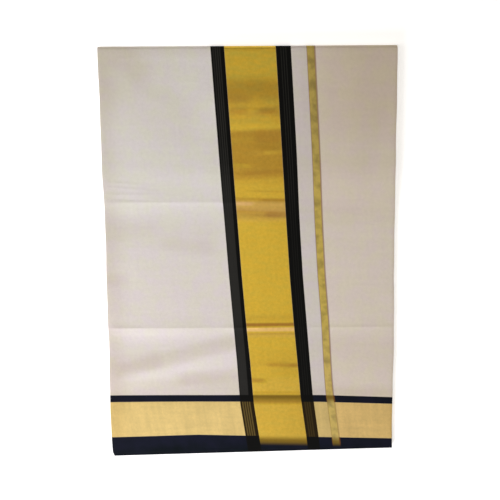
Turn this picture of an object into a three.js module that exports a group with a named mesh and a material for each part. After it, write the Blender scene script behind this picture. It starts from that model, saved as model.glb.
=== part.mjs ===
// A woven cotton saree, folded into a flat pad: ten panels lie on each other, and the upper
// part of the pad is turned back under itself. The front panel shows the end-piece of the cloth.
// Millimetres. X runs along the length of the cloth, Y across its width, Z up from the surface.
import * as THREE from "three";

// The cloth as woven, and the wall that stands for one layer of it.
const cloth = { length: 6250, width: 1153, wall: 1 };

// The pad: the cloth that each panel takes, how far apart panels lie, and the air between solids.
const pad = { panelLength: 625, pitch: 0.7, seam: 0.3 };
const padHeight = Math.round(cloth.length / pad.panelLength) * pad.pitch;
const hiddenTop = padHeight - cloth.wall - pad.seam;

// The plan of the pad. The lower edge is the woven edge, the upper one is the turn.
const plan = { lowerEdgeY: -457, lowerEdgeRise: 0.0318, upperEdgeY: 451.6, upperEdgeRise: 0.0056 };

// The two side folds run slightly out of square with the weave.
const sideFolds = [
  { y: -457.0, left: -316.8, right: 319.6 },
  { y: -447.0, left: -320.4, right: 321.0 },
  { y: -411.5, left: -321.2, right: 319.0 },
  { y: -312.0, left: -320.2, right: 317.0 },
  { y: -222.5, left: -318.5, right: 315.3 },
  { y: 136.3, left: -315.2, right: 302.3 },
  { y: 451.6, left: -314.6, right: 293.0 },
];

// The pad climbs onto its own turned-back part over this ramp.
const ramp = { topY: 213, length: 120 };

// Raised creases of the front panel along the weave, from an earlier, smaller folding.
// Each fades from its left height to its right height, and falls away above and below.
const creases = [
  { y: -148.5, leftHeight: 3.8, rightHeight: 1.0, fallBelow: 15, fallAbove: 65 },
  { y: 128.9, leftHeight: 3.1, rightHeight: 0.2, fallBelow: 16, fallAbove: 48 },
];

// Soft slack folds of the front panel: centre, direction, half length, half width and height.
const slackFolds = [
  { x: -172, y: -226, angle: 14.6, halfLength: 130, halfWidth: 26, height: 3.3 },
  { x: -20, y: 190, angle: 1, halfLength: 75, halfWidth: 46, height: 2.0 },
  { x: -30, y: 343, angle: 1, halfLength: 75, halfWidth: 36, height: 2.7 },
  { x: -190, y: 399, angle: -20, halfLength: 44, halfWidth: 21, height: 0.7 },
  { x: -205, y: 347, angle: -17, halfLength: 47, halfWidth: 13, height: 0.8 },
  { x: 215, y: 395, angle: 68, halfLength: 70, halfWidth: 30, height: 1.1 },
  { x: 205, y: 225, angle: 74, halfLength: 82, halfWidth: 28, height: 0.9 },
];

// The slack dies away towards the side folds, the turn and the woven edge.
const slackFade = { sides: 14, turn: 30, edge: 20 };

// Cross-section of the front panel's side fold, as pairs of outer and inner points:
// distance in from the fold line, and depth below the top of the pad.
const foldProfile = [
  { outerIn: 0, outerDown: 1.55, innerIn: 1, innerDown: 1.55 },
  { outerIn: 0, outerDown: 0.85, innerIn: 1, innerDown: 1.15 },
  { outerIn: 0.55, outerDown: 0.2, innerIn: 1.25, innerDown: 1 },
  { outerIn: 1.6, outerDown: 0, innerIn: 1.75, innerDown: 1 },
];

// The nine hidden panels, from the lowest up: how far each woven edge stands back from the front
// panel's, and how far each side fold does.
const hiddenPanels = [
  { edgeBack: 3.2, leftBack: 2.1, rightBack: 3.4 },
  { edgeBack: 1.4, leftBack: 2.1, rightBack: 0.9 },
  { edgeBack: 4.1, leftBack: 0.7, rightBack: 0.9 },
  { edgeBack: 2.3, leftBack: 0.7, rightBack: 2.2 },
  { edgeBack: 1.2, leftBack: 1.6, rightBack: 2.2 },
  { edgeBack: 3.6, leftBack: 1.6, rightBack: 0.6 },
  { edgeBack: 2.0, leftBack: 0.4, rightBack: 0.6 },
  { edgeBack: 4.4, leftBack: 0.4, rightBack: 1.5 },
  { edgeBack: 1.8, leftBack: 2.2, rightBack: 1.5 },
];
const grooveDepth = 1.3;
const underFoldBack = 2.2;

// The side folds of the hidden panels wander in and out by this much, in waves of this length,
// each a share of a wave behind the one below.
const foldDrift = { most: 1, wave: 600, share: 0.27 };

// Rows of the front panel's upper run, closest at its creases, and those of the hidden panels.
const frontRows = [
  { from: -425, to: -345, step: 27 },
  { from: -345, to: -170.5, step: 14 },
  { from: -170.5, to: -137.5, step: 5.5 },
  { from: -137.5, to: 95, step: 29 },
  { from: 95, to: 145.8, step: 8.5 },
  { from: 145.8, to: 226, step: 14 },
  { from: 226, to: 442, step: 18 },
];
const hiddenRows = [
  { from: -425, to: -222.5, step: 68 },
  { from: -222.5, to: 85, step: 62 },
  { from: 85, to: 220, step: 11 },
  { from: 220, to: 436, step: 54 },
];
const acrossSteps = 18;
const turnSteps = { front: 8, hidden: 6 };
const lowerRun = { front: [0.2, 0.4, 0.6, 0.8, 1], hidden: [0.25, 0.5, 0.75, 0.9, 1] };

const smooth = (t) => {
  const s = THREE.MathUtils.clamp(t, 0, 1);
  return s * s * (3 - 2 * s);
};

// Linear reading of a table whose rows rise in y.
function readTable(table, column, y) {
  const next = table.findIndex((row) => row.y >= y);
  if (next <= 0) return (next === 0 ? table[0] : table[table.length - 1])[column];
  const [a, b] = [table[next - 1], table[next]];
  return THREE.MathUtils.mapLinear(y, a.y, b.y, a[column], b[column]);
}

// Height of the pad's middle surface, which lies between its two halves where it is turned back.
// In front of the ramp it is one seam below the surface that the lowest panel rests on.
const baseHeight = (y) =>
  THREE.MathUtils.lerp(-pad.seam, padHeight, smooth((y - ramp.topY + ramp.length) / ramp.length));
const turnY = (x) => plan.upperEdgeY + plan.upperEdgeRise * x - padHeight;
const lowerEdgeAt = (x) => plan.lowerEdgeY + plan.lowerEdgeRise * (x - sideFolds[0].left);

// The length of cloth that goes round the turn grows with the distance from the middle surface,
// so the inner panels reach further back on the underside.
const frontMiddle = padHeight - cloth.wall / 2;
const turnedLength = cloth.width - (turnY(0) - plan.lowerEdgeY) - Math.PI * frontMiddle;
const turnedEdgeAt = (x, depth) => turnY(x) - turnedLength - Math.PI * (frontMiddle - depth);

// Height that the front panel's slack adds over the pad, fading out at the two side folds.
function slack(x, y) {
  const left = readTable(sideFolds, "left", y);
  const right = readTable(sideFolds, "right", y);
  const across = (x - left) / (right - left);
  let height = 0;
  for (const c of creases) {
    const off = y - c.y - plan.upperEdgeRise * x;
    const fall = off < 0 ? c.fallBelow : c.fallAbove;
    const top = THREE.MathUtils.lerp(c.leftHeight, c.rightHeight, smooth(across));
    height += top * Math.exp(-Math.abs(off) / fall);
  }
  for (const f of slackFolds) {
    const turn = THREE.MathUtils.degToRad(f.angle);
    const along = (x - f.x) * Math.cos(turn) + (y - f.y) * Math.sin(turn);
    const beside = (y - f.y) * Math.cos(turn) - (x - f.x) * Math.sin(turn);
    height += f.height * Math.exp(-((along / f.halfLength) ** 2) - (beside / f.halfWidth) ** 2);
  }
  const sideFade = smooth((x - left) / slackFade.sides) * smooth((right - x) / slackFade.sides);
  const endFade = smooth((turnY(x) - y) / slackFade.turn) * smooth((y - lowerEdgeAt(x)) / slackFade.edge);
  return height * sideFade * endFade;
}

// Places a point of the pad. A station is a stretch of the pad (upper run, turn or lower run)
// and a share of it; depth is the distance from the pad's middle surface.
function place(x, station, depth, lowerEnd, turnedEnd) {
  const centre = turnY(x);
  if (station.stretch === "turn") {
    const angle = station.share * Math.PI;
    return new THREE.Vector3(x, centre + depth * Math.sin(angle), padHeight + depth * Math.cos(angle));
  }
  if (station.stretch === "upper") {
    const y = station.y === undefined ? lowerEnd : station.y;
    return new THREE.Vector3(x, y, baseHeight(y) + depth);
  }
  const y = THREE.MathUtils.lerp(centre, turnedEnd, station.share);
  return new THREE.Vector3(x, y, Math.max(baseHeight(y) - depth, 0));
}

// The two side folds at a station. The first station of all is the woven lower edge.
function foldsAt(station) {
  const y = station.y ?? (station.stretch === "upper" ? plan.lowerEdgeY : plan.upperEdgeY);
  return { y, left: readTable(sideFolds, "left", y), right: readTable(sideFolds, "right", y) };
}

// Stations of the upper run, from the woven edge up to the last row, and those round the turn.
function upperStations(rows) {
  const stations = [{ stretch: "upper" }];
  for (const { from, to, step } of rows) {
    const count = Math.round((to - from) / step);
    for (let i = 0; i < count; i++) {
      stations.push({ stretch: "upper", y: THREE.MathUtils.lerp(from, to, i / count) });
    }
  }
  return stations;
}
const turnStations = (count) =>
  Array.from({ length: count + 1 }, (_, i) => ({ stretch: "turn", share: i / count }));
const lowerStations = (shares) => shares.map((share) => ({ stretch: "lower", share }));

// Closes a loft of rings that all hold the same number of points. Each ring is an outer row and
// an inner row, so each end is closed by the strips between them.
function loft(rings, name, material) {
  const size = rings[0].length;
  const half = size / 2;
  const index = [];
  const quad = (a, b, c, d) => index.push(a, c, b, a, d, c);
  for (let r = 0; r + 1 < rings.length; r++) {
    for (let i = 0; i < size; i++) {
      const j = (i + 1) % size;
      quad(r * size + i, (r + 1) * size + i, (r + 1) * size + j, r * size + j);
    }
  }
  const last = (rings.length - 1) * size;
  for (let i = 0; i + 1 < half; i++) {
    const [k, l] = [size - 1 - i, size - 2 - i];
    quad(i, i + 1, l, k);
    quad(last + i, last + k, last + l, last + i + 1);
  }
  const geometry = new THREE.BufferGeometry().setFromPoints(rings.flat());
  geometry.setIndex(index);
  geometry.computeVertexNormals();
  const mesh = new THREE.Mesh(geometry, material);
  mesh.name = name;
  return mesh;
}

// The front panel's wall at one station: outer points from left to right, inner ones back.
function wallRing(station, lift) {
  const { left, right } = foldsAt(station);
  const outer = [];
  const inner = [];
  const add = (x, outerDepth, innerDepth, innerX = x) => {
    const rise = lift(x, station);
    const ends = [lowerEdgeAt(x), turnedEdgeAt(x, frontMiddle)];
    outer.push(place(x, station, outerDepth + rise, ...ends));
    inner.unshift(place(innerX, station, innerDepth + rise, ...ends));
  };
  for (const p of foldProfile) {
    add(left + p.outerIn, padHeight - p.outerDown, padHeight - p.innerDown, left + p.innerIn);
  }
  for (let i = 1; i < acrossSteps; i++) {
    add(THREE.MathUtils.lerp(left, right, i / acrossSteps), padHeight, padHeight - cloth.wall);
  }
  for (const p of [...foldProfile].reverse()) {
    add(right - p.outerIn, padHeight - p.outerDown, padHeight - p.innerDown, right - p.innerIn);
  }
  return [...outer, ...inner];
}

function makeFrontPanel(material) {
  const stations = [...upperStations(frontRows), ...turnStations(turnSteps.front)];
  const lift = (x, s) => (s.stretch === "upper" && s.y !== undefined ? slack(x, s.y) : 0);
  return loft(stations.map((s) => wallRing(s, lift)), "front_panel", material);
}

// The stretch of the front panel that runs on underneath, one seam behind the turn.
function makeTurnedBackPanel(material) {
  const stations = lowerStations([pad.seam / turnedLength, ...lowerRun.front]);
  return loft(stations.map((s) => wallRing(s, () => 0)), "turned_back_panel", material);
}

// The hidden panels as one solid, with a groove between each fold and the next at the sides, and
// between all the woven edges at both ends. Its levels are the panels' faces and their middles.
function makeFoldedPanels(material) {
  const levels = hiddenPanels.length * 2;
  const depthOf = (k) => THREE.MathUtils.lerp(pad.seam, hiddenTop, k / levels);
  const panelAt = (k) => hiddenPanels[Math.min(k >> 1, hiddenPanels.length - 1)];
  // A fold joins two panels, so it takes four levels, with a groove at both its ends. The folds on
  // the right begin one panel later than those on the left.
  const foldLevels = 4;
  const foldedIn = (k, firstGroove) => {
    const fromGroove = (k + foldLevels - firstGroove) % foldLevels;
    const groove = Math.abs((2 * fromGroove) / foldLevels - 1);
    return grooveDepth * groove * groove;
  };
  const underFront = (k) => (k >= levels - 1 ? underFoldBack : 0);
  const edgeBack = (k) => panelAt(k).edgeBack + (k % 2 ? 0 : grooveDepth / 2);
  const drift = (k, y) => {
    const turns = y / foldDrift.wave + Math.floor(k / foldLevels) * foldDrift.share;
    return (foldDrift.most * (1 + Math.sin(2 * Math.PI * turns))) / 2;
  };

  const ring = (station) => {
    const { y, left, right } = foldsAt(station);
    const leftSide = [];
    const rightSide = [];
    for (let k = 0; k <= levels; k++) {
      const depth = depthOf(k);
      const panel = panelAt(k);
      const leftIn = Math.max(panel.leftBack + foldedIn(k, 0) + drift(k, y), underFront(k));
      const rightIn = Math.max(panel.rightBack + foldedIn(k, 2) + drift(k + levels, y), underFront(k));
      const add = (side, x) => {
        const ends = [lowerEdgeAt(x) + edgeBack(k), turnedEdgeAt(x, depth) + edgeBack(k)];
        side.push(place(x, station, depth, ...ends));
      };
      add(leftSide, left + leftIn);
      add(rightSide, right - rightIn);
    }
    return [...leftSide, ...rightSide.reverse()];
  };
  const stations = [
    ...upperStations(hiddenRows),
    ...turnStations(turnSteps.hidden),
    ...lowerStations(lowerRun.hidden),
  ];
  return loft(stations.map(ring), "folded_panels", material);
}

const cotton = (colour) => new THREE.MeshStandardMaterial({ color: colour, roughness: 0.9, metalness: 0 });

const saree = new THREE.Group();
saree.name = "folded_saree";
saree.add(
  makeFrontPanel(cotton(0xd8cec4)),
  makeTurnedBackPanel(cotton(0xd0c5b8)),
  makeFoldedPanels(cotton(0xcfc4b6)),
);

export default saree;
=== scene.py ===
# A folded cotton saree. The banded end of the cloth lies on a bellows of nine more panels, and the
# upper part of the whole pad is turned back under itself. Metres throughout, Z up from the floor.
import math
from functools import partial

import bpy
import numpy as np
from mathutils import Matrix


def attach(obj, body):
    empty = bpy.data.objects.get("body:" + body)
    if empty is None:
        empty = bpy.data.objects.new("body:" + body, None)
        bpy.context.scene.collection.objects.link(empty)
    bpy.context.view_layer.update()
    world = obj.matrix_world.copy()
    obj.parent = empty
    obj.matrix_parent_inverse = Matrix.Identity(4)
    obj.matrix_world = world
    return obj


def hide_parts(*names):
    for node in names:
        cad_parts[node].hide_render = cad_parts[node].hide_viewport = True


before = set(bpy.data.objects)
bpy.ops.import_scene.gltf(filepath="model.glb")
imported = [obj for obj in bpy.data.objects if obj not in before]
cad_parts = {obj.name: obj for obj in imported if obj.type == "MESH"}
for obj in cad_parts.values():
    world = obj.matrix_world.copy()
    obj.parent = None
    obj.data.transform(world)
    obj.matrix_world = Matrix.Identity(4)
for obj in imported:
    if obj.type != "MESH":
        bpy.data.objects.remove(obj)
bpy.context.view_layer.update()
mm = 0.001

pad = {
    "height": 7.0 * mm,        # ten panels, pressed
    "seam": 0.3 * mm,          # the lowest panel lies this far over the floor side of the pad
    "rampTop": 213 * mm,       # the pad climbs onto its turned-back part
    "rampLength": 120 * mm,
    "lowerEdge": -457.0 * mm,
    "upperEdge": 451.6 * mm,
    "tilt": 0.0056,            # the weave climbs this much to the right
    "foldWave": 0.45 * mm,     # side folds are never dead straight: a long and a short wave
    "longWave": 0.043,
    "shortWave": 0.0171,
    "shortShare": 0.6,         # of the long wave's height
    "waveMiddle": 0.5,
    "rightPhase": 2.1,
    "floorGap": 0.25 * mm,
    "deepest": -0.56 * mm,     # the front rests on the next panel here
}

# the two side folds, from the lower edge up
sideFolds = {
    "y": [-457.0, -447.0, -411.5, -312.0, -222.5, 136.3, 451.6],
    "left": [-318.0, -321.6, -322.6, -321.5, -319.8, -315.6, -314.6],
    "right": [319.6, 321.0, 319.0, 317.0, 315.3, 302.3, 293.0],
}


def smooth(t):
    t = np.clip(t, 0, 1)
    return t * t * (3 - 2 * t)


def table(at, columns, key, name):
    return np.interp(at, np.array(columns[key]) * mm, np.array(columns[name]) * mm)


def baseHeight(y):  # middle surface of the pad
    rise = smooth((y - pad["rampTop"] + pad["rampLength"]) / pad["rampLength"])
    return -pad["seam"] + (pad["height"] + pad["seam"]) * rise


def turnCentre(x):
    return pad["upperEdge"] + pad["tilt"] * x - pad["height"]


def foldLine(side, y):
    inwards, phase = (1, 0.0) if side == "left" else (-1, pad["rightPhase"])
    short = pad["shortShare"] * np.sin(y / pad["shortWave"] + 2 * phase)
    wave = np.sin(y / pad["longWave"] + phase) + short - pad["waveMiddle"]
    return table(y, sideFolds, "y", side) + inwards * pad["foldWave"] * wave


# A point of cloth at flatY along the unrolled pad and depth over its middle surface: it runs up
# the front, goes round the turn on a circle of its own depth, and comes back underneath.
def layOnPad(x, flatY, depth, pathDepth, lift):
    centre = turnCentre(x)
    past = flatY - centre
    angle = np.clip(past / pathDepth, 0, math.pi)
    middle = np.minimum(flatY, centre) - np.maximum(past - math.pi * pathDepth, 0)
    y = middle + depth * np.sin(angle)
    z = baseHeight(middle) + depth * np.cos(angle) + lift
    return np.stack([x, y, np.maximum(z, pad["floorGap"])], axis=-1)


def named(columns, rows):  # a dictionary of values for each row
    return [dict(zip(columns.split(), row)) for row in rows]


# Millimetres. x, y: middle; angle: degrees from the weave; half: half its length; below, above:
# how far it falls off to either side. Crease lines have a pressed edge.
foldColumns = "x y angle half below above height"
creaseLines = named(foldColumns, [
    (-60, -147.9, 0.4, 420, 15, 60, 1.0),
    (-220, -148.0, 0.3, 225, 14, 75, 0.4),
    (-220, -147.5, 0.3, 225, 6, 5.5, 0.7),
    (-318, -148.0, 0.3, 110, 5, 5, 0.7),
    (-8, -147.5, 0.4, 84, 5, 6.5, 1.7),
    (250, -146.0, 0.6, 190, 8, 5, 0.65),
    (-180, 131.6, 0.4, 250, 17, 32, 3.2),
    (-8, 130.5, 0.4, 96, 7, 5, 1.1),
    (-270, 137.5, -2, 70, 3, 3.5, -0.5),
    (-250, 147.5, -1, 75, 3.5, 3, 0.5),
    (-262, 160.5, -4, 70, 4, 3, 0.5),
    (-280, 172.5, -5, 60, 4, 3, 0.5),
    (-20, 190, 1, 120, 60, 62, 2.6),
    (-20, 281, 1, 100, 25, 14, -0.8),
    (50, -235, -3, 50, 22, 9, 1.3),
    (8, -271, -2, 38, 18, 7, 1.1),
])
softFolds = named(foldColumns, [
    (-220, -148.0, 0.3, 225, 18, 75, 3.1),
    (-205, -238.0, 16.4, 280, 25, 27, 3.0),
    (-205, -302, 2, 170, 12, 16, -0.5),
    (-205, 344, -17, 75, 10, 18, 0.4),
    (-262, 408, -28, 70, 22, 20, -0.3),
    (-190, 398, -20, 70, 20, 22, 0.4),
    (-290, 88, 10, 70, 16, 18, -0.5),
    (-120, 38, -4, 90, 18, 20, -0.5),
    (-290, -36, 4, 60, 20, 20, -0.5),
    (-180, -84, 3, 120, 22, 30, 0.5),
    (215, 395, 68, 110, 34, 26, 1.2),
    (205, 225, 74, 130, 30, 26, 0.9),
    (262, 250, 80, 150, 18, 18, -0.5),
    (245, 20, 20, 90, 26, 22, 0.6),
    (-175, 204, 0, 125, 24, 50, 1.1),
    # the banded stretch
    (-30, 346, 1, 120, 40, 32, 3.0),
    (5, 322, -3, 60, 8, 4, 0.7),
    (28, 240, 3, 38, 5, 9, 0.9),
    (-38, 206, -6, 36, 6, 8, 0.9),
    (-34, 190, -4, 40, 5, 4, 0.5),
    (10, 154, 1, 80, 7, 4, 0.5),
    (-4, 98, 0, 84, 12, 6, 0.9),
])

# Patches of painted shade on the zari (tone below 0) and of painted highlight on its creases (above 0),
# and of painted shade on the ground. tall: half its height; soft: its edge.
patchColumns = "x y angle half tall soft tone"
zariShadeAndHighlightPatches = named(patchColumns, [
    (-2, 388, -1, 90, 2, 16, -0.05),
    (-2, 364, 0, 90, 9, 18, -0.32),
    (-40, 350, 0, 16, 6, 12, -0.10),
    (0, 322, 1, 90, 18, 16, -0.16),
    (-40, 342, 2, 26, 3, 10, -0.16),
    (-32, 324, 0, 10, 1, 9, -0.26),
    (34, 323, 3, 12, 2, 8, -0.30),
    (-4, 316, -1, 70, 1, 7, -0.16),
    (12, 233, 2, 90, 44, 12, -0.46),
    (36, 272, 2, 22, 10, 8, -0.10),
    (-30, 262, 3, 26, 3, 7, 0.08),
    (44, 237, 3, 14, 2, 4, 0.16),
    (-26, 210, -5, 14, 2, 4, 0.28),
    (10, 164, 0, 90, 16, 8, -0.06),
    (24, 196, 4, 30, 2, 5, -0.12),
    (20, 176, 0, 90, 3, 8, -0.10),
    (36, 155, -1, 26, 0, 3, -0.18),
    (16, 138, -1, 90, 1, 5, -0.34),
    (-22, 128.5, -1, 14, 1, 6, 0.82),
    (50, 126, 1, 12, 1, 4, 0.22),
    (16, 120, 0, 60, 5, 8, -0.12),
    (4, 110, -5, 90, 2, 9, -0.34),
    (56, 106, 0, 18, 3, 9, -0.30),
    (10, 100, -2, 34, 1, 9, -0.16),
    (48, 134, 0, 24, 2, 5, -0.26),
    (38, -124, 0.4, 90, 2, 7, -0.16),
    (38, -140.5, 0.4, 90, 1.5, 4.5, -0.76),
    (38, -152, 0.4, 90, 2, 4.5, 0.64),
    (40, -162, 0.4, 90, 0, 4.5, -0.26),
    (46, -232, 0, 90, 24, 12, -0.06),
    (78, -236, -2, 34, 0, 8, -0.30),
    (96, -235, 0, 6, 1, 7, -0.24),
    (34, -232, 3, 34, 3, 7, -0.08),
    (8, -272, -3, 9, 1, 8, -0.52),
    (50, -302, 0, 90, 1, 4, -0.26),
    (56, -323, 0, 90, 2, 6, -0.50),
    (50, -350, 0, 90, 70, 30, 0.06),
])
# painted shade on the ground
groundShadePatches = named(patchColumns, [
    (280, 420, 0, 60, 70, 195, 0.94),
    (-330, 30, 90, 480, 12, 56, 0.60),
    (-225, 328, -14, 80, 18, 56, 0.24),
    (-300, 450, -25, 120, 10, 70, 0.22),
    (-200, 62, -6, 100, 16, 34, 0.16),
    (-150, -296, 1, 170, 12, 32, 0.50),
    (200, -304, 0, 150, 4, 20, 0.32),
    (-190, -222, 15, 150, 7, 20, 0.46),
    (200, -248, 0, 150, 52, 42, 0.24),
    (230, 160, 0, 130, 34, 60, 0.34),
    (-258, 422, -33, 34, 7, 32, 0.46),
    (-190, 447, 0, 140, 6, 18, 0.34),
    (-300, 400, 0, 30, 36, 50, 0.22),
    (-268, -228, 8, 50, 10, 20, 0.32),
    (-90, -262, 6, 60, 4, 20, 0.46),
    (-140, 38, -4, 36, 3, 22, 0.22),
    (-252, 68, 6, 26, 5, 20, 0.18),
    (-312, -38, 0, 24, 4, 16, 0.26),
])
# and a paler painted reflection along the zari's creases
creaseReflectionPatches = named(patchColumns, [
    (4, 124, -2, 90, 7, 7, 0.55),
    (4, 101, 0, 90, 5, 12, 0.24),
    (30, -165, 0.4, 90, 2, 6, 0.20),
])

# what is left uneven all over: many faint waves, most of them lying along the weave
faintWaves = {
    "count": 26,
    "height": 0.055 * mm,
    "least": 0.4,              # share of it in the shortest waves
    "shortest": 38 * mm,
    "longest": 190 * mm,
    "heading": 90,             # degrees, and how much that scatters
    "scatter": 24,
    "seed": 5,
}

# where folds, slack and patches die out
fade = {
    "foldEnds": 1.25,          # how quickly a fold rises from its ends
    "patchEnds": 12 * mm,      # softer there than at its sides
    "sideFold": 16 * mm,
    "sideShare": 0.45,         # of the slack that is left at a side fold
    "turn": 26 * mm,
    "flatEdge": 10 * mm,       # no slack at the lower edge
    "lowerEdge": 20 * mm,
}


def fromMiddle(x, y, fold):  # distance along a fold and beside it
    turn = math.radians(fold["angle"])
    east, north = x - fold["x"] * mm, y - fold["y"] * mm
    return east * math.cos(turn) + north * math.sin(turn), north * math.cos(turn) - east * math.sin(turn)


def ridge(x, y, fold, sharp):
    along, beside = fromMiddle(x, y, fold)
    fall = np.where(beside < 0, fold["below"], fold["above"]) * mm
    reach = np.abs(beside) / fall
    profile = np.exp(-reach) if sharp else np.exp(-reach * reach)
    ends = smooth(fade["foldEnds"] * (1 - np.abs(along) / (fold["half"] * mm)))
    return fold["height"] * mm * profile * ends


def faintHeight(x, y):
    draw = np.random.default_rng(faintWaves["seed"])
    total = np.zeros_like(x)
    for _ in range(faintWaves["count"]):
        share = draw.random()
        length = faintWaves["shortest"] + (faintWaves["longest"] - faintWaves["shortest"]) * share
        heading = math.radians(draw.normal(faintWaves["heading"], faintWaves["scatter"]))
        phase = draw.random() * 2 * math.pi
        step = (x * math.cos(heading) + y * math.sin(heading)) * 2 * math.pi / length
        total += faintWaves["height"] * (faintWaves["least"] + share) * np.sin(step + phase)
    return total


def patchTone(x, y, patches):
    total = np.zeros_like(x)
    for patch in patches:
        along, beside = fromMiddle(x, y, patch)
        half, soft = patch["half"] * mm, patch["soft"] * mm
        ends = smooth(1 + (half - np.abs(along)) / (soft + fade["patchEnds"]))
        total += patch["tone"] * ends * smooth(1 + (patch["tall"] * mm - np.abs(beside)) / soft)
    return np.clip(total, -1, 1)


def slack(x, y):
    height = faintHeight(x, y)
    for line in creaseLines:
        height += ridge(x, y, line, True)
    for fold in softFolds:
        height += ridge(x, y, fold, False)
    nearFold = np.minimum(x - foldLine("left", y), foldLine("right", y) - x)
    upper = smooth((turnCentre(x) - y) / fade["turn"])
    lower = smooth((y - pad["lowerEdge"] - fade["flatEdge"]) / fade["lowerEdge"])
    sides = fade["sideShare"] + (1 - fade["sideShare"]) * smooth(nearFold / fade["sideFold"])
    return np.maximum(height * sides * upper * lower, pad["deepest"])


frontCloth = {
    "width": 1153 * mm,        # across the weave, selvedge to selvedge
    "shown": 622 * mm,         # along it, from side fold to side fold
    "thickness": 0.42 * mm,
    "depth": 6.65 * mm,        # its middle, over the pad's middle surface
    "tuck": 2.5 * mm,          # the selvedge is tucked under at the lower edge
    "tuckRadius": 0.28 * mm,
    "tuckRows": 5,
    "edgeRows": 14,
    "foldRadius": 0.35 * mm,
    "leftTail": [8, 4, 1],     # runs back under the front, then on into the bellows
    "rightTail": [1, 4, 10, 24, 50],  # the end of the cloth, turned under
    "arcSteps": 7,
    "columns": 98,
}

# the lower edge: where it lies, and how far the weave has drifted there, by place across
lowerEdge = {
    "x": [-321, -220, -125, -74, 18, 135, 230, 321],
    "y": [-457.3, -454.0, -451.0, -449.4, -446.6, -442.7, -439.5, -436.8],
}
drift = {
    "x": [-321, -124, -17, 155, 319],
    "low": [-3.7, 2.4, 0.1, -3.0, -6.4],     # at the gold border's lower line
    "middle": [-0.3, 0.6, 0.9, 0.7, -4.4],   # at the navy line
}
driftAt = {"low": -408 * mm, "middle": -309 * mm, "high": -150 * mm}

# where the first black band begins, up the cloth: it leans, and more so in the border, where the
# weave is also let out along the cloth
bandLean = {
    "y": [-720, -453.3, -408.4, -330, -305.9, -222.5, -30, 157.7, 450.5, 720],
    "x": [-4, -7.8, -14.6, -26.6, -28.6, -34.4, -50.6, -64.6, -85.4, -104.3],
    "spread": [0.966, 0.966, 0.964, 0.962, 0.972, 0.987, 1, 1, 1, 1],
}

# heights of the rows: from, to and step, finer where the cloth is creased
rowBands = [
    (-400, -300, 4.6), (-300, -172, 2.6), (-172, -134, 1.3), (-134, 92, 5.4),
    (92, 182, 1.8), (182, 330, 3.0), (330, 442, 4.5),
]
rowsPastTurn = [0, 1.5, *range(3, 23, 2), 26, 40, *range(70, 191, 30), 215, 232, 249.4]


def weaveDrift(x, y):
    low = table(x, drift, "x", "low")
    middle = table(x, drift, "x", "middle")
    high = pad["tilt"] * x
    nearLow = np.clip((driftAt["middle"] - y) / (driftAt["middle"] - driftAt["low"]), 0, 1)
    nearHigh = np.clip((y - driftAt["middle"]) / (driftAt["high"] - driftAt["middle"]), 0, 1)
    return middle + (low - middle) * nearLow + (high - middle) * nearHigh


# Cross-section along the cloth: share of the way between the side folds, distance off that,
# drop below the layer, and the same distance measured along the cloth.
def frontSection():
    r = frontCloth["foldRadius"]
    angles = np.linspace(0, math.pi, frontCloth["arcSteps"])
    rows = []
    for tail in frontCloth["leftTail"]:
        rows.append((0, r + tail * mm, 2 * r, r - math.pi * r - tail * mm))
    for a in angles[::-1]:
        rows.append((0, r - r * math.sin(a), r - r * math.cos(a), r - r * a))
    for share in np.linspace(0, 1, frontCloth["columns"])[1:-1]:
        rows.append((share, r * (1 - 2 * share), 0, r * (1 - 2 * share)))
    for a in angles:
        rows.append((1, -r + r * math.sin(a), r - r * math.cos(a), -r + r * a))
    for tail in frontCloth["rightTail"]:
        rows.append((1, -r - tail * mm, 2 * r, -r + math.pi * r + tail * mm))
    return np.array(rows).T


def sheetMesh(name, points, uv, material, tones):
    rows, columns = points.shape[:2]
    corner = np.arange((rows - 1) * columns).reshape(rows - 1, columns)[:, :-1].ravel()
    quads = np.stack([corner, corner + 1, corner + columns + 1, corner + columns], axis=1)
    mesh = bpy.data.meshes.new(name)
    mesh.from_pydata(points.reshape(-1, 3).tolist(), [], quads.tolist())
    layer = mesh.uv_layers.new(name="UVMap")
    layer.data.foreach_set("uv", uv.reshape(-1, 2)[quads.ravel()].astype(np.float32).ravel())
    for label, values in tones.items():
        tone = mesh.attributes.new(label, "FLOAT", "POINT")
        tone.data.foreach_set("value", values.astype(np.float32).ravel())
    mesh.materials.append(material)
    piece = bpy.data.objects.new(name, mesh)
    bpy.context.collection.objects.link(piece)
    return piece


sharpFrom = math.radians(55)  # only the rims of a sheet are sharper


# gives a sheet its thickness and leaves one plain mesh
def thicken(piece, thickness):
    solid = piece.modifiers.new("thickness", "SOLIDIFY")
    solid.thickness = thickness
    solid.offset = 0
    graph = bpy.context.evaluated_depsgraph_get()
    mesh = bpy.data.meshes.new_from_object(piece.evaluated_get(graph), depsgraph=graph)
    piece.modifiers.remove(solid)
    piece.data = mesh
    mesh.shade_smooth()
    mesh.set_sharp_from_angle(angle=sharpFrom)


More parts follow.
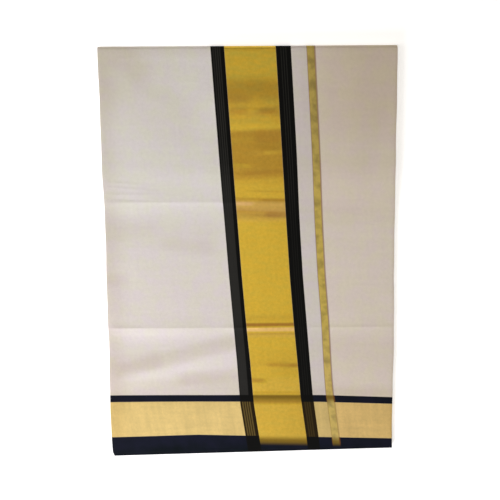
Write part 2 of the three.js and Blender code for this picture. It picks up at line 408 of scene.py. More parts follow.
def makeFrontCloth(material):
    share, offset, drop, flatOffset = frontSection()
    top = []
    for start, end, step in rowBands:
        top += list(np.linspace(start, end, round((end - start) / step), endpoint=False) * mm)

    def column(y):  # x of every column at the height y
        left, right = foldLine("left", y), foldLine("right", y)
        at = left + (right - left) * share
        return at + offset, at + flatOffset

    points, uv = [], []
    # per point: painted shade and highlights on the zari, painted shade on the ground, a painted reflection
    # on the creases
    patches = {"zariLightTone": zariShadeAndHighlightPatches, "paintedGroundTone": groundShadePatches, "paleReflectionTone": creaseReflectionPatches}
    tones = {label: [] for label in patches}

    def addRow(flatY, rise, extraDrop, along):
        x, flatX = column(np.clip(flatY, pad["lowerEdge"], pad["upperEdge"]))
        depth = frontCloth["depth"] - drop - extraDrop
        points.append(layOnPad(x, flatY, depth, frontCloth["depth"], rise))
        across = flatY - pad["lowerEdge"] + frontCloth["tuck"] - weaveDrift(x, flatY) + along
        lean = table(flatY, bandLean, "y", "x")
        spread = np.interp(flatY, np.array(bandLean["y"]) * mm, bandLean["spread"])
        uv.append(np.stack([(flatX - lean) * spread, across], axis=-1))
        for label, rows in tones.items():
            rows.append(patchTone(x, flatY, patches[label]))

    edgeX = column(pad["lowerEdge"])[0]
    edgeY = table(edgeX, lowerEdge, "x", "y")
    tucked = edgeY - pad["lowerEdge"] + frontCloth["tuck"] - weaveDrift(edgeX, edgeY)
    r, tuckRows = frontCloth["tuckRadius"], frontCloth["tuckRows"]
    for k in range(tuckRows, 0, -1):
        run = np.maximum(tucked - math.pi * r, 0) * k / tuckRows
        addRow(edgeY + r + run, 0, 2 * r, -2 * run - math.pi * r)
    for a in np.linspace(math.pi, 0, tuckRows + 1):
        addRow(edgeY + r - r * math.sin(a), 0, r - r * math.cos(a), -r * a + r * math.sin(a))
    for step in np.linspace(0, 1, frontCloth["edgeRows"])[1:-1]:
        y = edgeY + r + (rowBands[0][0] * mm - edgeY - r) * step
        addRow(y, slack(edgeX, y), 0, 0)
    for height in top:
        x = column(height)[0]
        y = np.full_like(x, height)
        addRow(y, slack(x, y), 0, 0)
    for past in rowsPastTurn:
        x = column(pad["upperEdge"])[0]
        addRow(turnCentre(x) + past * mm, 0, 0, 0)
    tones = {label: np.array(rows) for label, rows in tones.items()}
    piece = sheetMesh("frontCloth", np.array(points), np.array(uv), material, tones)
    thicken(piece, frontCloth["thickness"])
    return piece


def put(tree, kind, **settings):
    node = tree.nodes.new(kind)
    for key, value in settings.items():
        setattr(node, key, value)
    return node


def feed(tree, socket, value):
    if isinstance(value, bpy.types.NodeSocket):
        tree.links.new(value, socket)
    else:
        socket.default_value = value


def calc(tree, operation, *values):
    node = put(tree, "ShaderNodeMath", operation=operation)
    for socket, value in zip(node.inputs, values):
        feed(tree, socket, value)
    return node.outputs[0]


def mixColour(tree, factor, first, second, blend="MIX"):
    node = put(tree, "ShaderNodeMix", data_type="RGBA", blend_type=blend)
    feed(tree, node.inputs[0], factor)
    feed(tree, node.inputs[6], first)
    feed(tree, node.inputs[7], second)
    return node.outputs[2]


def mixValue(tree, factor, first, second):
    node = put(tree, "ShaderNodeMix", data_type="FLOAT")
    feed(tree, node.inputs[0], factor)
    feed(tree, node.inputs[2], first)
    feed(tree, node.inputs[3], second)
    return node.outputs[0]


def newTree(name, kind, inputs, outputs):
    tree = bpy.data.node_groups.new(name, kind)
    for label, socketType, value in inputs:
        socket = tree.interface.new_socket(name=label, in_out="INPUT", socket_type=socketType)
        if value is not None:
            socket.default_value = value
    for label, socketType in outputs:
        tree.interface.new_socket(name=label, in_out="OUTPUT", socket_type=socketType)
    return tree, put(tree, "NodeGroupInput").outputs, put(tree, "NodeGroupOutput").inputs


def place(tree, group, **values):  # a shader group with its own values
    node = put(tree, "ShaderNodeGroup", node_tree=group)
    for label, value in values.items():
        feed(tree, node.inputs[label], value)
    return node.outputs


bellows = {
    "panels": 9,
    "panelWidth": 620 * mm,
    "thickness": 0.3 * mm,
    "lowest": 0.55 * mm,       # depth of the lowest panel over the pad's middle surface
    "highest": 5.0 * mm,
    "columnsPerPanel": 22,
    "rows": 141,
    "turnAt": 0.7815,          # share of the width below the turn, where rows are closest
    "rowGather": 1.8,          # how strongly rows gather there, and columns at the folds
    "columnGather": 4,
    "selvedge": 1.5 * mm,      # its nearest selvedge, over the lower edge
    "setBack": 2.6 * mm,       # how far a fold may stand back
    "edgeScatter": 3.6 * mm,   # how far a panel's selvedge may stand back
    "seed": 11,
    "edgeSeed": 7,             # added to it for the selvedges
}


# A flat strip of cloth, gathered into a zigzag of panels. Its folds are round, each stands back
# by its own amount, and the cloth's own measure is stored as a UV map.
def bellowsTree(material):
    number = "NodeSocketFloat"
    pitch = (bellows["highest"] - bellows["lowest"]) / (bellows["panels"] - 1)
    inputs = [
        ("Panels", "NodeSocketInt", bellows["panels"]),
        ("Columns", "NodeSocketInt", bellows["panels"] * bellows["columnsPerPanel"] + 1),
        ("Rows", "NodeSocketInt", bellows["rows"]),
        ("Panel width", number, bellows["panelWidth"]),
        ("Cloth width", number, frontCloth["width"]),
        ("Turn share", number, bellows["turnAt"]),
        ("Pitch", number, pitch),
        ("Set back", number, bellows["setBack"]),
        ("Edge scatter", number, bellows["edgeScatter"]),
        ("Seed", "NodeSocketInt", bellows["seed"]),
        ("Material", "NodeSocketMaterial", material),
    ]
    outputs = [("Cloth", "NodeSocketGeometry")]
    tree, given, result = newTree("bellowsFolding", "GeometryNodeTree", inputs, outputs)
    m = partial(calc, tree)

    def scatter(index, most, step):  # one random amount for each fold
        node = put(tree, "FunctionNodeRandomValue", data_type="FLOAT")
        feed(tree, node.inputs[2], 0.0)
        feed(tree, node.inputs[3], most)
        feed(tree, node.inputs["ID"], index)
        feed(tree, node.inputs["Seed"], m("ADD", given["Seed"], step))
        return node.outputs[1]

    grid = put(tree, "GeometryNodeMeshGrid")
    feed(tree, grid.inputs["Size X"], given["Panels"])
    feed(tree, grid.inputs["Size Y"], 2.0)
    feed(tree, grid.inputs["Vertices X"], given["Columns"])
    feed(tree, grid.inputs["Vertices Y"], given["Rows"])
    split = put(tree, "ShaderNodeSeparateXYZ")
    feed(tree, split.inputs[0], put(tree, "GeometryNodeInputPosition").outputs[0])

    # along the cloth: which panel, and how far along it, with columns gathered at the folds
    run = m("ADD", split.outputs["X"], m("MULTIPLY", given["Panels"], 0.5))
    panel = m("MINIMUM", m("FLOOR", m("ADD", run, 1e-4)), m("SUBTRACT", given["Panels"], 1))
    inside = m("SUBTRACT", run, panel)
    late = m("GREATER_THAN", inside, 0.5)
    toFold = mixValue(tree, late, inside, m("SUBTRACT", 1, inside))
    closeIn = m("POWER", m("MULTIPLY", m("MAXIMUM", toFold, 0), 2), bellows["columnGather"])
    closeIn = m("MULTIPLY", closeIn, 0.5)
    share = mixValue(tree, late, closeIn, m("SUBTRACT", 1, closeIn))
    reach = m("MULTIPLY", closeIn, given["Panel width"])

    # round each fold
    radius = m("MULTIPLY", given["Pitch"], 0.5)
    foldIndex = m("ADD", panel, late)
    isFold = m("MULTIPLY", m("GREATER_THAN", foldIndex, 0.5),
               m("LESS_THAN", foldIndex, m("SUBTRACT", given["Panels"], 0.5)))
    angle = m("MINIMUM", m("DIVIDE", reach, radius), math.pi / 2)
    arcLength = m("MULTIPLY", radius, math.pi / 2)
    rounded = m("ADD", m("MULTIPLY", radius, m("SUBTRACT", 1, m("COSINE", angle))),
                m("MAXIMUM", m("SUBTRACT", reach, arcLength), 0))
    inset = mixValue(tree, isFold, reach, rounded)
    towards = m("SUBTRACT", m("MULTIPLY", late, 2), 1)
    swing = m("MULTIPLY", radius, m("SUBTRACT", 1, m("SINE", angle)))
    swing = m("MULTIPLY", swing, m("MULTIPLY", towards, isFold))
    height = m("ADD", m("MULTIPLY", panel, given["Pitch"]), swing)

    # stand back by an amount that changes evenly from fold to fold
    nextFold = m("ADD", panel, 1)
    startBack = scatter(panel, given["Set back"], 0)
    endBack = scatter(nextFold, given["Set back"], 0)
    forward = mixValue(tree, late, inset, m("SUBTRACT", given["Panel width"], inset))
    forward = m("ADD", forward, mixValue(tree, share, startBack, m("MULTIPLY", endBack, -1)))
    odd = m("MODULO", panel, 2)
    x = mixValue(tree, odd, forward, m("SUBTRACT", given["Panel width"], forward))

    # across the cloth: rows gathered at the turn
    side = m("SIGN", split.outputs["Y"])
    beyond = m("GREATER_THAN", split.outputs["Y"], 0)
    room = mixValue(tree, beyond, given["Turn share"], m("SUBTRACT", 1, given["Turn share"]))
    away = m("POWER", m("ABSOLUTE", split.outputs["Y"]), bellows["rowGather"])
    away = m("MULTIPLY", m("MULTIPLY", away, side), room)
    across = m("MULTIPLY", m("ADD", given["Turn share"], away), given["Cloth width"])
    shifts = [scatter(fold, given["Edge scatter"], bellows["edgeSeed"]) for fold in (panel, nextFold)]
    shift = mixValue(tree, share, *shifts)

    measure = put(tree, "ShaderNodeCombineXYZ")
    feed(tree, measure.inputs[0], m("MULTIPLY", m("ADD", panel, share), given["Panel width"]))
    feed(tree, measure.inputs[1], across)
    store = put(tree, "GeometryNodeStoreNamedAttribute", data_type="FLOAT2", domain="CORNER")
    feed(tree, store.inputs["Geometry"], grid.outputs["Mesh"])
    feed(tree, store.inputs["Name"], "UVMap")
    feed(tree, store.inputs["Value"], measure.outputs[0])

    spot = put(tree, "ShaderNodeCombineXYZ")
    feed(tree, spot.inputs[0], x)
    feed(tree, spot.inputs[1], m("ADD", across, shift))
    feed(tree, spot.inputs[2], height)
    move = put(tree, "GeometryNodeSetPosition")
    feed(tree, move.inputs["Geometry"], store.outputs["Geometry"])
    feed(tree, move.inputs["Position"], spot.outputs[0])
    realize = put(tree, "GeometryNodeRealizeInstances")
    feed(tree, realize.inputs[0], move.outputs["Geometry"])
    finish = put(tree, "GeometryNodeSetMaterial")
    feed(tree, finish.inputs["Geometry"], realize.outputs[0])
    feed(tree, finish.inputs["Material"], given["Material"])
    feed(tree, result["Cloth"], finish.outputs[0])
    return tree


def makeFoldedCloth(material):
    piece = bpy.data.objects.new("foldedCloth", bpy.data.meshes.new("foldedCloth"))
    bpy.context.collection.objects.link(piece)
    folding = piece.modifiers.new("folding", "NODES")
    folding.node_group = bellowsTree(material)
    graph = bpy.context.evaluated_depsgraph_get()
    mesh = bpy.data.meshes.new_from_object(piece.evaluated_get(graph), depsgraph=graph)
    piece.modifiers.remove(folding)
    piece.data = mesh

    flat = np.empty(len(mesh.vertices) * 3)
    mesh.vertices.foreach_get("co", flat)
    along, across, height = flat.reshape(-1, 3).T
    flatY = pad["lowerEdge"] + bellows["selvedge"] + across
    visible = np.clip(flatY, pad["lowerEdge"], pad["upperEdge"])
    left, right = foldLine("left", visible), foldLine("right", visible)
    fromRight = bellows["panelWidth"] - along
    x = (left + along) + (right - fromRight - left - along) * smooth(along / bellows["panelWidth"])
    flatY = flatY + table(x, lowerEdge, "x", "y") - pad["lowerEdge"]
    depth = bellows["lowest"] + height
    laid = layOnPad(x, flatY, depth, depth, 0)
    mesh.vertices.foreach_set("co", laid.ravel())
    mesh.update()
    thicken(piece, bellows["thickness"])
    return piece


value, vector = "NodeSocketFloat", "NodeSocketVector"

# scale: features to a unit; gain and base stretch a noise past 0 and 1
noises = {
    "slub": {"scale": 1.0, "detail": 3.0},
    "cloud": {"scale": 7.0, "detail": 2.0},
    "blotch": {"scale": 30.0, "detail": 2.0, "gain": 3.5, "base": -1.25},
    "worn": {"scale": 22.0, "detail": 4.0},
    "grain": {"scale": 150.0, "detail": 3.0, "gain": 2.0, "base": -1.0},
    "bloom": {"scale": 1.0, "detail": 4.0, "gain": 2.6, "base": -0.9},
    "specks": {"scale": 45.0, "detail": 2.0, "gain": 3.2, "base": -1.35},
}


def noiseOver(tree, at, name):
    noise = noises[name]
    node = put(tree, "ShaderNodeTexNoise", noise_dimensions="2D")
    feed(tree, node.inputs["Vector"], at)
    feed(tree, node.inputs["Scale"], noise["scale"])
    feed(tree, node.inputs["Detail"], noise["detail"])
    if "gain" not in noise:
        return node.outputs[0]
    return calc(tree, "MULTIPLY_ADD", node.outputs[0], noise["gain"], noise["base"])


def stripeGroup():  # 1 between two edges, fading over a soft width
    inputs = [("At", value, 0.0), ("From", value, 0.0), ("To", value, 1.0), ("Soft", value, 0.0005)]
    tree, given, result = newTree("wovenStripe", "ShaderNodeTree", inputs, [("Mask", value)])
    m = partial(calc, tree)

    def step(edge):
        node = put(tree, "ShaderNodeMapRange", interpolation_type="SMOOTHSTEP")
        feed(tree, node.inputs[0], given["At"])
        feed(tree, node.inputs[1], m("SUBTRACT", given[edge], given["Soft"]))
        feed(tree, node.inputs[2], m("ADD", given[edge], given["Soft"]))
        return node.outputs[0]

    feed(tree, result["Mask"], m("SUBTRACT", step("From"), step("To")))
    return tree


def weaveGroup():  # plain weave: round threads, over and under by turns
    inputs = [("UV", vector, None), ("Pitch", value, 0.0004), ("Tightness", value, 3.0)]
    outputs = [("Height", value), ("Gap", value)]
    tree, given, result = newTree("plainWeave", "ShaderNodeTree", inputs, outputs)
    m = partial(calc, tree)
    split = put(tree, "ShaderNodeSeparateXYZ")
    feed(tree, split.inputs[0], given["UV"])

    def thread(axis, shift):
        turns = m("DIVIDE", split.outputs[axis], given["Pitch"])
        return m("SINE", m("MULTIPLY", m("ADD", turns, shift), math.pi))

    crossing = m("MULTIPLY", thread(0, 0.0), thread(1, 0.0))
    feed(tree, result["Height"], m("ABSOLUTE", crossing))
    low = m("MULTIPLY", m("ABSOLUTE", thread(0, 0.5)), m("ABSOLUTE", thread(1, 0.5)))
    feed(tree, result["Gap"], m("POWER", low, given["Tightness"]))
    return tree


def slubGroup():  # thicker and thinner threads, streaks along and across the cloth
    inputs = [("UV", vector, None), ("Fineness", value, 90.0), ("Stretch", value, 14.0)]
    outputs = [("Along", value), ("Across", value)]
    tree, given, result = newTree("threadSlubs", "ShaderNodeTree", inputs, outputs)
    m = partial(calc, tree)
    split = put(tree, "ShaderNodeSeparateXYZ")
    feed(tree, split.inputs[0], given["UV"])
    slow = m("DIVIDE", given["Fineness"], given["Stretch"])
    fine = given["Fineness"]
    for label, first, second in (("Along", slow, fine), ("Across", fine, slow)):
        spot = put(tree, "ShaderNodeCombineXYZ")
        feed(tree, spot.inputs[0], m("MULTIPLY", split.outputs[0], first))
        feed(tree, spot.inputs[1], m("MULTIPLY", split.outputs[1], second))
        feed(tree, result[label], noiseOver(tree, spot.outputs[0], "slub"))
    return tree


def ribGroup():  # a few evenly spaced fine lines
    inputs = [("At", value, 0.0), ("First", value, 0.0), ("Pitch", value, 0.004), ("Count", value, 3.0),
              ("Width", value, 0.001), ("Core", value, 0.4)]
    tree, given, result = newTree("fineLines", "ShaderNodeTree", inputs, [("Mask", value)])
    m = partial(calc, tree)
    turns = m("DIVIDE", m("SUBTRACT", given["At"], given["First"]), given["Pitch"])
    nearest = m("ROUND", turns)
    away = m("MULTIPLY", m("ABSOLUTE", m("SUBTRACT", turns, nearest)), given["Pitch"])
    line = put(tree, "ShaderNodeMapRange", interpolation_type="SMOOTHSTEP")
    feed(tree, line.inputs[0], away)
    feed(tree, line.inputs[1], given["Width"])
    feed(tree, line.inputs[2], m("MULTIPLY", given["Width"], given["Core"]))
    kept = m("MULTIPLY", m("GREATER_THAN", nearest, -0.5),
             m("LESS_THAN", nearest, m("SUBTRACT", given["Count"], 0.5)))
    feed(tree, result["Mask"], m("MULTIPLY", line.outputs[0], kept))
    return tree


groups = {"stripe": stripeGroup(), "weave": weaveGroup(), "slub": slubGroup(), "ribs": ribGroup()}

cotton = {
    "light": (0.848, 0.806, 0.790, 1),
    "dark": (0.772, 0.724, 0.686, 1),
    "cool": (0.985, 0.965, 1.0, 1),            # faint blotches of either cast
    "warm": (0.982, 0.995, 0.93, 1),
    "navy": (0.0075, 0.009, 0.022, 1),
    "navyDark": (0.0028, 0.0058, 0.0085, 1),
    "zari": (0.707, 0.47, 0.0505, 1),          # the gold across the end-piece
    "borderZari": (0.745, 0.570, 0.225, 1),    # paler gold along the selvedge
    "thinZari": (0.636, 0.492, 0.116, 1),      # the thin gold band,
    "thinZariHigh": (0.548, 0.422, 0.115, 1),  # up at the turn,
    "thinZariLow": (0.655, 0.505, 0.152, 1),   # and near the selvedge
    "speckTint": (0.64, 0.64, 0.72, 1),        # its darker specks
    "veilAndSheen": (0.56, 0.465, 0.072, 1),           # a greener bloom on the zari, and a painted sheen
    "streaks": ((0.96, 0.95, 0.94, 1), (1.04, 1.04, 1.04, 1)),
    "black": (0.0035, 0.0035, 0.003, 1),
    "slate": (0.0235, 0.023, 0.021, 1),        # the faded part of the first black band
    "fineLine": (0.030, 0.030, 0.026, 1),
    "zariLine": (0.122, 0.084, 0.022, 1),      # fine lines where they cross the border
    "browned": (0.020, 0.012, 0.003, 1),       # and the black between them
    "crossing": (0.19, 0.115, 0.010, 1),       # gold under the dark warp
    "redBrown": (0.23, 0.095, 0.018, 1),       # the two edges of the thin gold band
    "gapTint": (0.898, 0.893, 0.892, 1),       # the ground between the bands,
    "endCreamAndShade": (0.970, 0.935, 0.860, 1),       # past them, where the yarn is creamier and a painted shade darkens it,
    "borderEndTint": (1.028, 0.970, 0.938, 1),  # and the border there
    "coolHigh": (0.968, 1.0, 0.995, 1),        # the ground's upper part before the bands
    "shadedGround": (0.84, 0.80, 0.735, 1),           # painted shade on the ground
    "paintedShade": (0.328, 0.132, 0.030, 1),        # painted shade on the zari,
    "paintedHighlight": (0.93, 0.60, 0.27, 1),           # a painted highlight on it
    "paintedReflection": (0.60, 0.375, 0.135, 1),         # and a paler painted reflection on its creases
    "gap": (0.75, 0.73, 0.70, 1),              # between the threads
    "toneShares": (0.45, 0.3, 0.25),  # slubs along, slubs across and the cloud
    "wornCloud": (0.90, 1.09),  # how unevenly the border's gold is worn
    "wornAcross": (0.90, 1.10),
    "wornAlong": (0.93, 1.07),
    "navyWear": 0.35,  # share of the navy's darkening that is blotchy
    "fadedLines": 0.7,  # what is faded high up lies along fine lines
    "fineLines": (0.3, 0.65),  # low and high up the cloth
    "secondCrossed": 0.27,  # in the border, beside the first band's lines
    "bloomAndSheenShares": (0.25, 0.54),  # low and high; high up it is also a painted sheen
    "bloomStretch": (30.0, 90.0),  # features to the metre, along and across
    "sunkShare": 0.9,  # of the gold, where it lies under the dark warp
    "thinEdges": (0.62, 0.72),  # left and right, then what is left in the border
    "edgesInBorder": 0.6,
    "threadPitch": 0.42 * mm,
    "grain": 0.055,  # yarn that takes the light unevenly
    "zariGrain": 0.12,
    "slubHeight": 0.8,
    "bumpStrength": 0.35,
    "bumpDepth": 0.06 * mm,
    "clothRoughness": 0.86,
    "zariRoughness": 0.46,
    "zariMetal": 0.72,
    "borderMetal": 0.45,
    "thinMetal": 0.6,
    "sunkMetal": 0.35,
    "sheen": 0.015,
    "sheenRoughness": 0.5,
    "specular": 0.08,
}

# from the woven edge inwards, the same at both selvedges
selvedge = {
    "navy": 52.5 * mm,
    "gold": 135.5 * mm,
    "line": 151.5 * mm,
    "darkest": (24 * mm, 14 * mm),     # up to here, over a soft width
    "endsAt": (35 * mm, 7 * mm),       # where the gold bands run out in the navy strip,
    "sinksAt": (49 * mm, 8 * mm),      # where they sink into it
    "sinksHigh": (138 * mm, 9 * mm),   # and where they sink into the line
    "lineSoft": 2.5 * mm,
}

# along the cloth, from where the first black band begins
bands = {
    "firstBlack": (-0.6 * mm, 27.4 * mm),
    "secondBlack": (131.7 * mm, 160.5 * mm),
    "thinGold": (193.2 * mm, 208.2 * mm),
    "thinLeftEdge": (192.1 * mm, 193.7 * mm, 0.7 * mm),
    "thinRightEdge": (207.8 * mm, 210.6 * mm, 1.2 * mm),
    "faded": (1 * mm, 19 * mm, 1.2 * mm),
    "thinSoft": 0.8 * mm,
    "firstEndLow": 29.2 * mm,  # the bands are not quite even across the cloth
    "secondStartLow": 133.2 * mm,
    "secondEndHigh": 162.6 * mm,
    "thinShiftLow": 3.2 * mm,
    "thinShiftHigh": -1.6 * mm,
}

# heights over the woven edge where a look changes, and how softly
changes = {
    "low": (260 * mm, 90 * mm),
    "cools": (500 * mm, 130 * mm),
    "high": (620 * mm, 120 * mm),
    "blooms": (745 * mm, 14 * mm),
}

# fine lines in the black bands
fineLines = {
    "faded": {"First": 4.5 * mm, "Pitch": 4.5 * mm, "Count": 4.0, "Width": 2.0 * mm},
    "first": {"First": 9 * mm, "Pitch": 4.5 * mm},
    "second": {"First": 142 * mm, "Pitch": 5 * mm},
    "firstCrossed": {"First": 5 * mm, "Pitch": 5 * mm, "Count": 4.0, "Width": 2.2 * mm},
    "secondCrossed": {"First": 141 * mm, "Pitch": 5 * mm, "Width": 2.2 * mm},
}
farOff = 10.0  # past any edge of the cloth


def stripe(tree, at, start, end, soft=0.5 * mm):
    return place(tree, groups["stripe"], At=at, From=start, To=end, Soft=soft)[0]


def below(tree, at, edge):
    return stripe(tree, at, -farOff, *edge)


def above(tree, at, edge):
    return stripe(tree, at, edge[0], farOff, edge[1])


def ribMask(tree, at, name):
    return place(tree, groups["ribs"], At=at, **fineLines[name])[0]


def tinted(tree, base, tint):
    return mixColour(tree, 1.0, base, tint, "MULTIPLY")


def times(tree, factor, base, tint):  # the base, multiplied by a tint where the factor says
    return mixColour(tree, factor, base, tinted(tree, base, tint))


def greyOf(tree, level):
    grey = put(tree, "ShaderNodeCombineColor")
    for socket in grey.inputs[:3]:
        feed(tree, socket, level)
    return grey.outputs[0]


def stored(tree, name):
    return put(tree, "ShaderNodeAttribute", attribute_name=name).outputs["Fac"]


# the ground, selvedge borders and weave that every stretch of this cloth has
def weaveCotton(name):
    material = bpy.data.materials.new(name)
    material.use_nodes = True
    tree = material.node_tree
    m = partial(calc, tree)
    uv = put(tree, "ShaderNodeUVMap", uv_map="UVMap").outputs[0]
    split = put(tree, "ShaderNodeSeparateXYZ")
    feed(tree, split.inputs[0], uv)
    u, v = split.outputs[0], split.outputs[1]
    fromEdge = m("MINIMUM", v, m("SUBTRACT", frontCloth["width"], v))
    slub = place(tree, groups["slub"], UV=uv)

    along, across, cloudy = cotton["toneShares"]
    tone = m("ADD", m("MULTIPLY", slub["Along"], along), m("MULTIPLY", slub["Across"], across))
    tone = m("ADD", tone, m("MULTIPLY", noiseOver(tree, uv, "cloud"), cloudy))
    ground = mixColour(tree, tone, cotton["dark"], cotton["light"])
    blotch = noiseOver(tree, uv, "blotch")
    ground = tinted(tree, ground, mixColour(tree, blotch, cotton["cool"], cotton["warm"]))

    border = stripe(tree, fromEdge, selvedge["navy"], selvedge["gold"])
    line = stripe(tree, fromEdge, selvedge["gold"], selvedge["line"])
    strip = stripe(tree, fromEdge, -farOff, selvedge["navy"])
    worn = mixValue(tree, noiseOver(tree, uv, "worn"), *cotton["wornCloud"])
    worn = m("MULTIPLY", worn, mixValue(tree, slub["Across"], *cotton["wornAcross"]))
    worn = m("MULTIPLY", worn, mixValue(tree, slub["Along"], *cotton["wornAlong"]))
    base = mixColour(tree, border, ground, tinted(tree, greyOf(tree, worn), cotton["borderZari"]))
    darkest = mixValue(tree, cotton["navyWear"], below(tree, fromEdge, selvedge["darkest"]), blotch)
    dark = m("ADD", line, strip)
    base = mixColour(tree, dark, base, mixColour(tree, darkest, cotton["navy"], cotton["navyDark"]))
    return {"material": material, "tree": tree, "uv": uv, "u": u, "v": v, "fromEdge": fromEdge,
            "slub": slub, "base": base, "border": border, "dark": dark}


def finishCotton(parts, base, metal):
    tree = parts["tree"]
    shader = tree.nodes["Principled BSDF"]
    weave = place(tree, groups["weave"], UV=parts["uv"], Pitch=cotton["threadPitch"])
    most = mixValue(tree, metal, cotton["grain"], cotton["zariGrain"])
    grain = calc(tree, "MULTIPLY_ADD", noiseOver(tree, parts["uv"], "grain"), most, 1.0)
    base = tinted(tree, base, greyOf(tree, grain))
    feed(tree, shader.inputs["Base Color"], times(tree, weave["Gap"], base, cotton["gap"]))
    feed(tree, shader.inputs["Metallic"], calc(tree, "MULTIPLY", metal, cotton["zariMetal"]))
    roughness = mixValue(tree, metal, cotton["clothRoughness"], cotton["zariRoughness"])
    feed(tree, shader.inputs["Roughness"], roughness)
    bump = put(tree, "ShaderNodeBump")
    bump.inputs["Strength"].default_value = cotton["bumpStrength"]
    bump.inputs["Distance"].default_value = cotton["bumpDepth"]
    slubs = calc(tree, "MULTIPLY", parts["slub"]["Along"], cotton["slubHeight"])
    feed(tree, bump.inputs["Height"], calc(tree, "ADD", weave["Height"], slubs))
    feed(tree, shader.inputs["Normal"], bump.outputs[0])
    shader.inputs["Sheen Weight"].default_value = cotton["sheen"]
    shader.inputs["Sheen Roughness"].default_value = cotton["sheenRoughness"]
    shader.inputs["Specular IOR Level"].default_value = cotton["specular"]
    return parts["material"]


def hiddenCotton():
    parts = weaveCotton("foldedCotton")
    metal = calc(parts["tree"], "MULTIPLY", parts["border"], cotton["borderMetal"])
    return finishCotton(parts, parts["base"], metal)


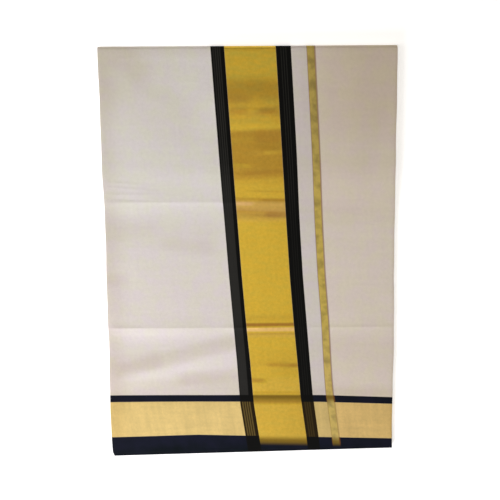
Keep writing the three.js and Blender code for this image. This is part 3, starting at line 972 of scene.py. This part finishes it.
def bandedCotton():
    parts = weaveCotton("bandedCotton")
    tree, uv, u, v = parts["tree"], parts["uv"], parts["u"], parts["v"]
    fromEdge, border, base = parts["fromEdge"], parts["border"], parts["base"]
    m = partial(calc, tree)
    low = below(tree, v, changes["low"])
    high = above(tree, v, changes["high"])

    # the ground: painted shade, its own casts, and past the bands creamier yarn with painted shade
    base = times(tree, stored(tree, "paintedGroundTone"), base, cotton["shadedGround"])
    before = stripe(tree, u, -farOff, bands["firstBlack"][0])
    between = stripe(tree, u, bands["secondBlack"][1], bands["thinGold"][0])
    past = stripe(tree, u, bands["thinGold"][1], farOff)
    base = times(tree, m("MULTIPLY", before, above(tree, v, changes["cools"])), base, cotton["coolHigh"])
    base = times(tree, between, base, cotton["gapTint"])
    base = times(tree, past, base, mixColour(tree, border, cotton["endCreamAndShade"], cotton["borderEndTint"]))

    # black bands, with fine lines that take the border's gold where they cross it
    firstEnd = mixValue(tree, low, bands["firstBlack"][1], bands["firstEndLow"])
    secondStart = mixValue(tree, low, bands["secondBlack"][0], bands["secondStartLow"])
    secondEnd = mixValue(tree, high, bands["secondBlack"][1], bands["secondEndHigh"])
    firstBlack = stripe(tree, u, bands["firstBlack"][0], firstEnd)
    black = m("ADD", firstBlack, stripe(tree, u, secondStart, secondEnd))
    kept = mixValue(tree, high, 1.0, m("MULTIPLY", ribMask(tree, u, "faded"), cotton["fadedLines"]))
    faded = m("MULTIPLY", stripe(tree, u, *bands["faded"]), kept)
    blackColour = mixColour(tree, faded, cotton["black"], cotton["slate"])
    lines = m("ADD", ribMask(tree, u, "first"), ribMask(tree, u, "second"))
    lines = m("MULTIPLY", lines, mixValue(tree, high, *cotton["fineLines"]))
    blackColour = mixColour(tree, lines, blackColour, cotton["fineLine"])
    crossed = m("MULTIPLY_ADD", ribMask(tree, u, "secondCrossed"), cotton["secondCrossed"],
                ribMask(tree, u, "firstCrossed"))
    blackColour = mixColour(tree, border, blackColour, cotton["browned"])
    blackColour = mixColour(tree, m("MULTIPLY", border, crossed), blackColour, cotton["zariLine"])
    blackColour = mixColour(tree, parts["dark"], blackColour, cotton["black"])
    base = mixColour(tree, black, base, blackColour)

    # gold bands, the wide one with its bloom, partly a painted sheen, and the thin one with its specks
    alive = above(tree, fromEdge, selvedge["endsAt"])
    gold = m("MULTIPLY", stripe(tree, u, firstEnd, secondStart), alive)
    thinAt = m("MULTIPLY_ADD", low, bands["thinShiftLow"], u)
    thinAt = m("MULTIPLY_ADD", high, bands["thinShiftHigh"], thinAt)
    thin = m("MULTIPLY", stripe(tree, thinAt, *bands["thinGold"], bands["thinSoft"]), alive)
    thinColour = mixColour(tree, high, cotton["thinZari"], cotton["thinZariHigh"])
    thinColour = mixColour(tree, low, thinColour, cotton["thinZariLow"])
    goldColour = mixColour(tree, thin, cotton["zari"], thinColour)
    goldColour = tinted(tree, mixColour(tree, parts["slub"]["Across"], *cotton["streaks"]), goldColour)
    wide = put(tree, "ShaderNodeCombineXYZ")
    for socket, at, stretch in zip(wide.inputs, (u, v), cotton["bloomStretch"]):
        feed(tree, socket, m("MULTIPLY", at, stretch))
    bloom = m("MAXIMUM", noiseOver(tree, wide.outputs[0], "bloom"), 0.0)
    # stronger high up, where the bloom is a painted sheen
    bloom = m("MULTIPLY", bloom, mixValue(tree, above(tree, v, changes["blooms"]), *cotton["bloomAndSheenShares"]))
    bloom = m("MULTIPLY", bloom, m("SUBTRACT", 1.0, thin))
    goldColour = mixColour(tree, bloom, goldColour, cotton["veilAndSheen"])
    specks = m("MULTIPLY", m("MAXIMUM", noiseOver(tree, uv, "specks"), 0.0), thin)
    goldColour = times(tree, specks, goldColour, cotton["speckTint"])

    # painted shade on the zari, painted highlights, and a paler painted reflection on its creases
    zariLightTone = stored(tree, "zariLightTone")
    paintedShade = m("MAXIMUM", m("MULTIPLY", zariLightTone, -1.0), 0.0)
    goldColour = mixColour(tree, paintedShade, goldColour, cotton["paintedShade"])
    goldColour = mixColour(tree, m("MAXIMUM", zariLightTone, 0.0), goldColour, cotton["paintedHighlight"])
    goldColour = mixColour(tree, stored(tree, "paleReflectionTone"), goldColour, cotton["paintedReflection"])

    # the gold sinks into the dark warp at the border's line and runs out in the navy strip
    inLine = (selvedge["line"], selvedge["lineSoft"])
    sunk = m("MULTIPLY", above(tree, fromEdge, selvedge["sinksHigh"]), below(tree, fromEdge, inLine))
    sunk = m("MAXIMUM", sunk, below(tree, fromEdge, selvedge["sinksAt"]))
    goldColour = mixColour(tree, m("MULTIPLY", sunk, cotton["sunkShare"]), goldColour, cotton["crossing"])
    base = mixColour(tree, m("ADD", gold, thin), base, goldColour)
    left, right = cotton["thinEdges"]
    edges = m("ADD", m("MULTIPLY", stripe(tree, thinAt, *bands["thinLeftEdge"]), left),
              m("MULTIPLY", stripe(tree, thinAt, *bands["thinRightEdge"]), right))
    edges = m("MULTIPLY", edges, mixValue(tree, border, alive, cotton["edgesInBorder"]))
    base = mixColour(tree, edges, base, cotton["redBrown"])

    shine = m("ADD", gold, m("MULTIPLY", thin, cotton["thinMetal"]))
    metal = m("MULTIPLY", border, mixValue(tree, black, cotton["borderMetal"], 0.0))
    metal = m("MAXIMUM", metal, m("MULTIPLY", shine, mixValue(tree, sunk, 1.0, cotton["sunkMetal"])))
    return finishCotton(parts, base, metal)


floor = {
    "size": 6.0,
    "colour": (0.90, 0.90, 0.90, 1),
    "paler": (0.93, 0.93, 0.93, 1),
    "clouds": 3.0,
    "roughness": 0.7,
    "glow": 0.5,
}
view = {
    "aim": (-5.4 * mm, 28.05 * mm, 9 * mm),
    "distance": 1.430,
    "tilt": 11.5,
    "lens": 47.7,
    "sensor": 36,
}
lamps = [
    {"name": "window", "at": (-0.9, -2.1, 0.75), "size": 0.8, "power": 51, "colour": (0.905, 0.895, 1.0)},
    {"name": "sideFill", "at": (-1.7, 0.25, 1.2), "size": 1.0, "power": 13.2, "colour": (0.95, 0.965, 1.0)},
    {"name": "backFill", "at": (-0.2, 1.9, 0.3), "size": 0.9, "power": 5, "colour": (1.0, 0.97, 0.93)},
    {"name": "softbox", "at": (-0.3, -0.32, 2.0), "size": 2.35, "power": 16.7, "colour": (1.0, 0.985, 0.96)},
]
sky = {"colour": (1.0, 0.84, 0.58, 1), "strength": 0.17}


def makeFloor():
    half = floor["size"] / 2
    mesh = bpy.data.meshes.new("floor")
    corners = [(-half, -half, 0), (half, -half, 0), (half, half, 0), (-half, half, 0)]
    mesh.from_pydata(corners, [], [(0, 1, 2, 3)])
    piece = bpy.data.objects.new("floor", mesh)
    bpy.context.collection.objects.link(piece)
    material = bpy.data.materials.new("paleFloor")
    material.use_nodes = True
    tree = material.node_tree
    shader = tree.nodes["Principled BSDF"]
    noise = put(tree, "ShaderNodeTexNoise")
    feed(tree, noise.inputs["Vector"], put(tree, "ShaderNodeTexCoord").outputs["Object"])
    feed(tree, noise.inputs["Scale"], floor["clouds"])
    colour = mixColour(tree, noise.outputs[0], floor["colour"], floor["paler"])
    feed(tree, shader.inputs["Base Color"], colour)
    shader.inputs["Roughness"].default_value = floor["roughness"]
    shader.inputs["Emission Color"].default_value = (1, 1, 1, 1)
    shader.inputs["Emission Strength"].default_value = floor["glow"]
    mesh.materials.append(material)


def aimed(thing, at, target):
    away = np.array(target) - np.array(at)
    thing.location = at
    tilt = math.atan2(math.hypot(away[0], away[1]), -away[2])
    thing.rotation_euler = (tilt, 0, math.atan2(-away[0], away[1]))


def makeLights():
    for lamp in lamps:
        light = bpy.data.lights.new(lamp["name"], "AREA")
        light.size = lamp["size"]
        light.energy = lamp["power"]
        light.color = lamp["colour"]
        holder = bpy.data.objects.new(lamp["name"], light)
        bpy.context.collection.objects.link(holder)
        aimed(holder, lamp["at"], (0, 0, 0))
    world = bpy.data.worlds.new("studio")
    world.use_nodes = True
    inputs = world.node_tree.nodes["Background"].inputs
    inputs[0].default_value = sky["colour"]
    inputs[1].default_value = sky["strength"]
    bpy.context.scene.world = world


def makeCamera():
    data = bpy.data.cameras.new("camera")
    data.lens = view["lens"]
    data.sensor_width = view["sensor"]
    holder = bpy.data.objects.new("camera", data)
    bpy.context.collection.objects.link(holder)
    tilt = math.radians(view["tilt"])
    x, y, z = view["aim"]
    away = view["distance"]
    holder.location = (x, y + away * math.sin(tilt), z + away * math.cos(tilt))
    holder.rotation_euler = (-tilt, 0, 0)
    bpy.context.scene.camera = holder


bpy.context.scene.view_settings.view_transform = "Standard"
makeFloor()
makeLights()
makeCamera()
print("stage, lights and camera are set")

front = makeFrontCloth(bandedCotton())
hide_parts("front_panel", "turned_back_panel")
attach(front, "root")
print("front cloth:", len(front.data.polygons), "faces")

folded = makeFoldedCloth(hiddenCotton())
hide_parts("folded_panels")
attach(folded, "root")
print("folded cloth:", len(folded.data.polygons), "faces")
